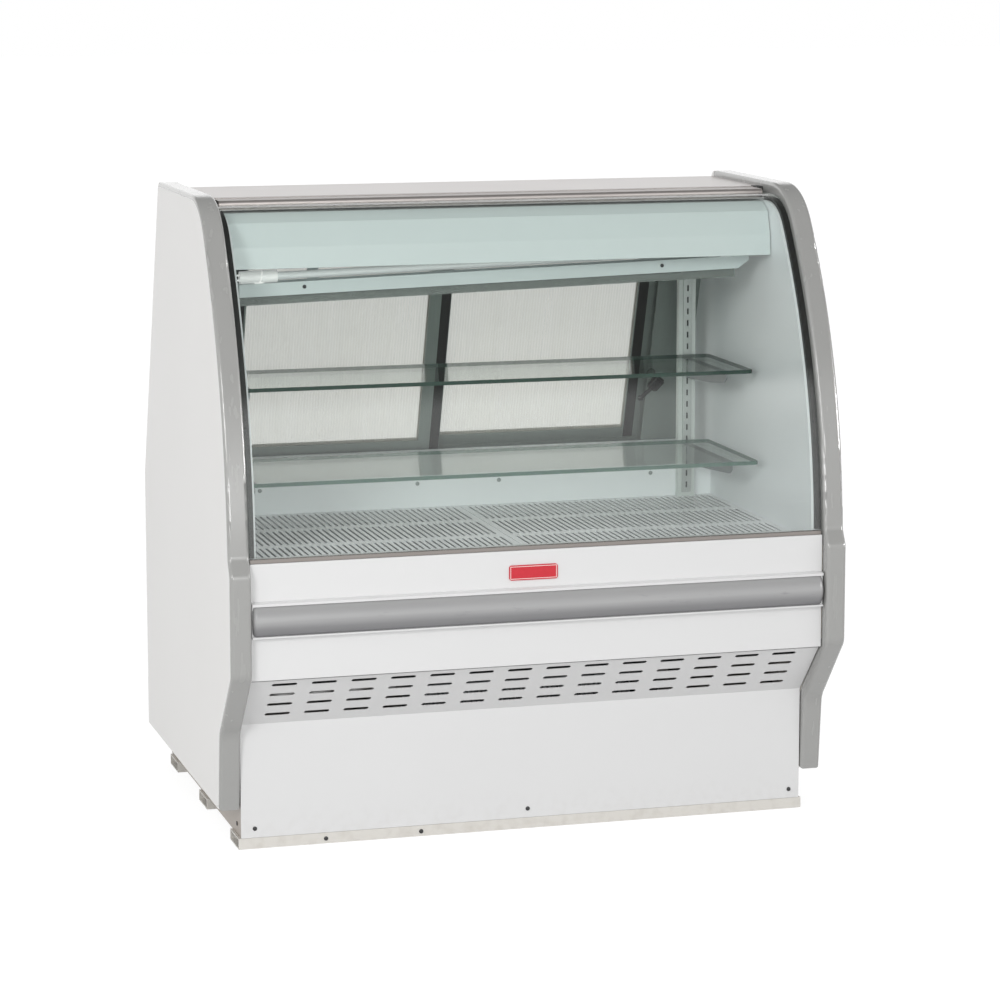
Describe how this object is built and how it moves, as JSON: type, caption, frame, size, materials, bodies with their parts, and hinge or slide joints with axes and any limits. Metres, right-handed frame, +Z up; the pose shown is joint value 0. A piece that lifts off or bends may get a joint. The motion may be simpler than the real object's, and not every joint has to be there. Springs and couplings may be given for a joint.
{
  "type": "refrigerated deli case",
  "caption": "Low counter display case with curved lift-up front glass, glass shelves, slotted deck, sliding rear doors and a louvred base holding the cooling unit.",
  "frame": {"origin": "on the floor, at the centre of the case's footprint", "axes": "+X to the right as the customer sees it, +Y towards the serving side at the back, +Z up"},
  "size_m": [1.27, 0.924, 1.288],
  "materials": {
    "white_panel": "satin white powder coat",
    "end_panel_paint": "satin white powder coat, slightly warm",
    "end_trim_grey": "glossy grey moulding",
    "liner_white": "white stucco-embossed lining",
    "foam": "cut urethane foam",
    "galvanised": "galvanised sheet",
    "bumper_vinyl": "satin grey vinyl",
    "plate": "gloss red, blank",
    "anodised": "satin anodised",
    "mill_aluminium": "brushed, faint streaks",
    "black_vinyl": "soft black",
    "curved_glass": "clear, faint green",
    "door_glass": "sealed unit, misted grey",
    "shelf_glass": "clear plate, dark green edge",
    "lens": "clear grey prismatic",
    "lamp_white": "white enamel",
    "tube_glass": "opal white",
    "lamp_channel_paint": "light blue-grey enamel",
    "deck_paint": "white enamel",
    "steel_zinc": "bright zinc",
    "pin_steel": "ground steel",
    "coil_fins": "plain fins",
    "motor_grey": "grey enamel",
    "fan_blades": "pressed aluminium",
    "compressor_black": "black enamel",
    "copper": "drawn copper",
    "drain_grey": "grey pipe",
    "control_plastic": "textured grey-black",
    "knob_black": "moulded black",
    "runner_steel": "white painted tube, worn"
  },
  "bodies": {
    "case": {"end_panel_left": "end_panel_paint", "end_panel_right": "end_panel_paint", "end_liner_left": "liner_white", "end_liner_right": "liner_white", "end_trim_left": "end_trim_grey", "end_trim_right": "end_trim_grey", "foam_insulation": "foam", "cross_runners": "runner_steel", "base_frame": "white_panel", "kick_panel": "white_panel", "front_panel": "white_panel", "bumper_rail": "white_panel", "bumper_insert": "bumper_vinyl", "bumper_end_caps": "bumper_vinyl", "name_plate": "plate", "top_panel": "white_panel", "top_rail": "anodised", "glass_hinge_bushes": "black_vinyl", "canopy_liner": "liner_white", "lamp_channel": "lamp_channel_paint", "lamp_diffuser": "lens", "lamp_tube": "tube_glass", "lamp_holders": "lamp_white", "glass_seals": "black_vinyl", "rear_door_frame": "mill_aluminium", "rear_posts": "liner_white", "pilasters": "steel_zinc", "shelf_brackets": "steel_zinc", "upper_shelf": "shelf_glass", "lower_shelf": "shelf_glass", "tub_shell": "galvanised", "tub_liner": "liner_white", "duct_cover": "deck_paint", "deck_pan_left": "deck_paint", "deck_pan_right": "deck_paint", "evaporator_coil": "coil_fins", "evaporator_fan_plate": "galvanised", "evaporator_fan_motor": "motor_grey", "condenser_coil": "coil_fins", "condenser_fan_motor": "motor_grey", "compressor": "compressor_black", "refrigerant_lines": "copper", "drain_tube": "drain_grey", "service_panel": "white_panel", "control_box": "control_plastic", "screws": "steel_zinc"},
    "front_glass_unit": {"front_glass": "curved_glass", "glass_hinge_profile": "anodised", "glass_hinge_pins": "pin_steel", "glass_edge_rail": "anodised"},
    "left_door": {"door_left_frame": "mill_aluminium", "door_left_pane": "door_glass", "door_left_strips": "black_vinyl"},
    "right_door": {"door_right_frame": "mill_aluminium", "door_right_pane": "door_glass", "door_right_strips": "black_vinyl"},
    "evaporator_fan_wheel": {"evaporator_fan": "fan_blades"},
    "condenser_fan_wheel": {"condenser_fan": "fan_blades"},
    "thermostat": {"thermostat_knob": "knob_black"},
    "switch_rocker": {"light_switch": "knob_black"}
  },
  "joints": [
    {"name": "glass_lift", "type": "hinge", "parent": "case", "child": "front_glass_unit", "pos_m": [0, -0.058, 1.268], "axis": [-1, 0, 0], "range_deg": [0, 75]},
    {"name": "left_door_slide", "type": "slide", "parent": "case", "child": "left_door", "axis": [1, 0, 0], "range_m": [0, 0.44]},
    {"name": "right_door_slide", "type": "slide", "parent": "case", "child": "right_door", "axis": [-1, 0, 0], "range_m": [0, 0.44]},
    {"name": "evaporator_fan_spin", "type": "hinge", "parent": "case", "child": "evaporator_fan_wheel", "pos_m": [0, -0.132, 0.462], "axis": [0, 1, 0], "continuous": true},
    {"name": "condenser_fan_spin", "type": "hinge", "parent": "case", "child": "condenser_fan_wheel", "pos_m": [0, -0.217, 0.165], "axis": [0, 1, 0], "continuous": true},
    {"name": "thermostat_turn", "type": "hinge", "parent": "case", "child": "thermostat", "pos_m": [0.44, 0.456, 0.23], "axis": [0, -1, 0], "range_deg": [0, 270]},
    {"name": "switch_tip", "type": "hinge", "parent": "case", "child": "switch_rocker", "pos_m": [0.36, 0.443, 0.23], "axis": [1, 0, 0], "range_deg": [-8, 8]}
  ]
}
